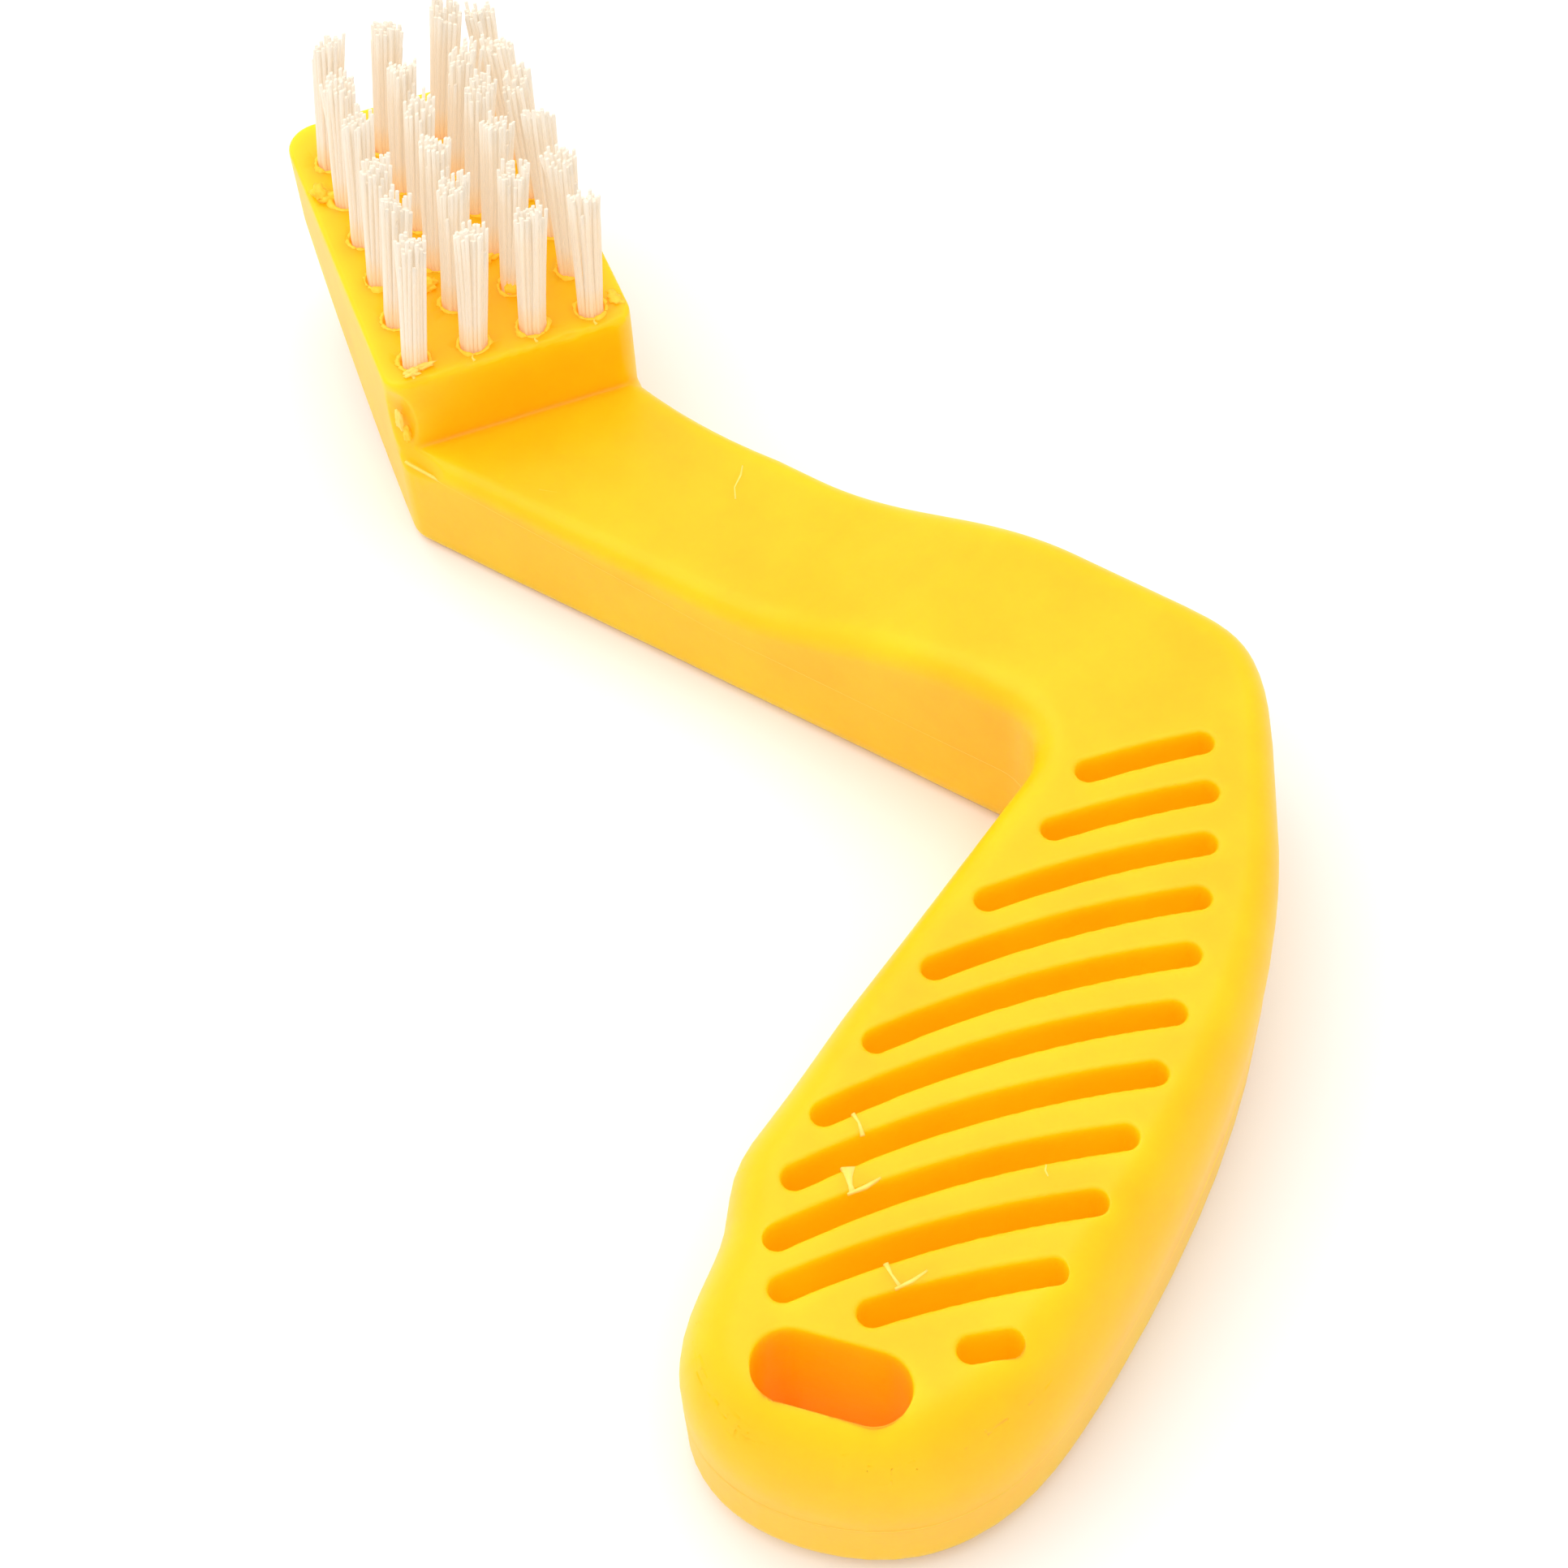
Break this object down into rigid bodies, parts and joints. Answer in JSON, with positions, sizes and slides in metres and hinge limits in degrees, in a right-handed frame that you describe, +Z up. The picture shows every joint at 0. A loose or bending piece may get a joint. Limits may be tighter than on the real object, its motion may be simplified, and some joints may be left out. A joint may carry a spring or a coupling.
{
  "type": "hoof brush",
  "caption": "Yellow one-piece plastic scrubbing brush with a cranked, slotted grip, a hanging hole and stiff ivory bristle tufts.",
  "frame": {"origin": "on the resting plane, under the middle of the step where the neck leaves the brush head", "axes": "+Z up, the way the bristles point; +Y from the handle to the head's tip; +X right across the head"},
  "size_m": [0.1007, 0.2233, 0.053],
  "materials": {
    "yellow_plastic": "satin moulded",
    "bristle_nylon": "translucent filaments with cut ends",
    "anchor_steel": "bright wire"
  },
  "bodies": {
    "root": {"handle_body": "yellow_plastic", "tuft_r1_c1": "bristle_nylon", "tuft_r1_c2": "bristle_nylon", "tuft_r1_c3": "bristle_nylon", "tuft_r1_c4": "bristle_nylon", "tuft_r2_c1": "bristle_nylon", "tuft_r2_c2": "bristle_nylon", "tuft_r2_c3": "bristle_nylon", "tuft_r2_c4": "bristle_nylon", "tuft_r3_c1": "bristle_nylon", "tuft_r3_c2": "bristle_nylon", "tuft_r3_c3": "bristle_nylon", "tuft_r3_c4": "bristle_nylon", "tuft_r4_c1": "bristle_nylon", "tuft_r4_c2": "bristle_nylon", "tuft_r4_c3": "bristle_nylon", "tuft_r4_c4": "bristle_nylon", "tuft_r5_c1": "bristle_nylon", "tuft_r5_c2": "bristle_nylon", "tuft_r5_c3": "bristle_nylon", "tuft_r5_c4": "bristle_nylon", "tuft_r6_c1": "bristle_nylon", "tuft_r6_c2": "bristle_nylon", "tuft_r6_c3": "bristle_nylon", "tuft_r6_c4": "bristle_nylon", "tuft_anchors": "anchor_steel"}
  },
  "joints": []
}
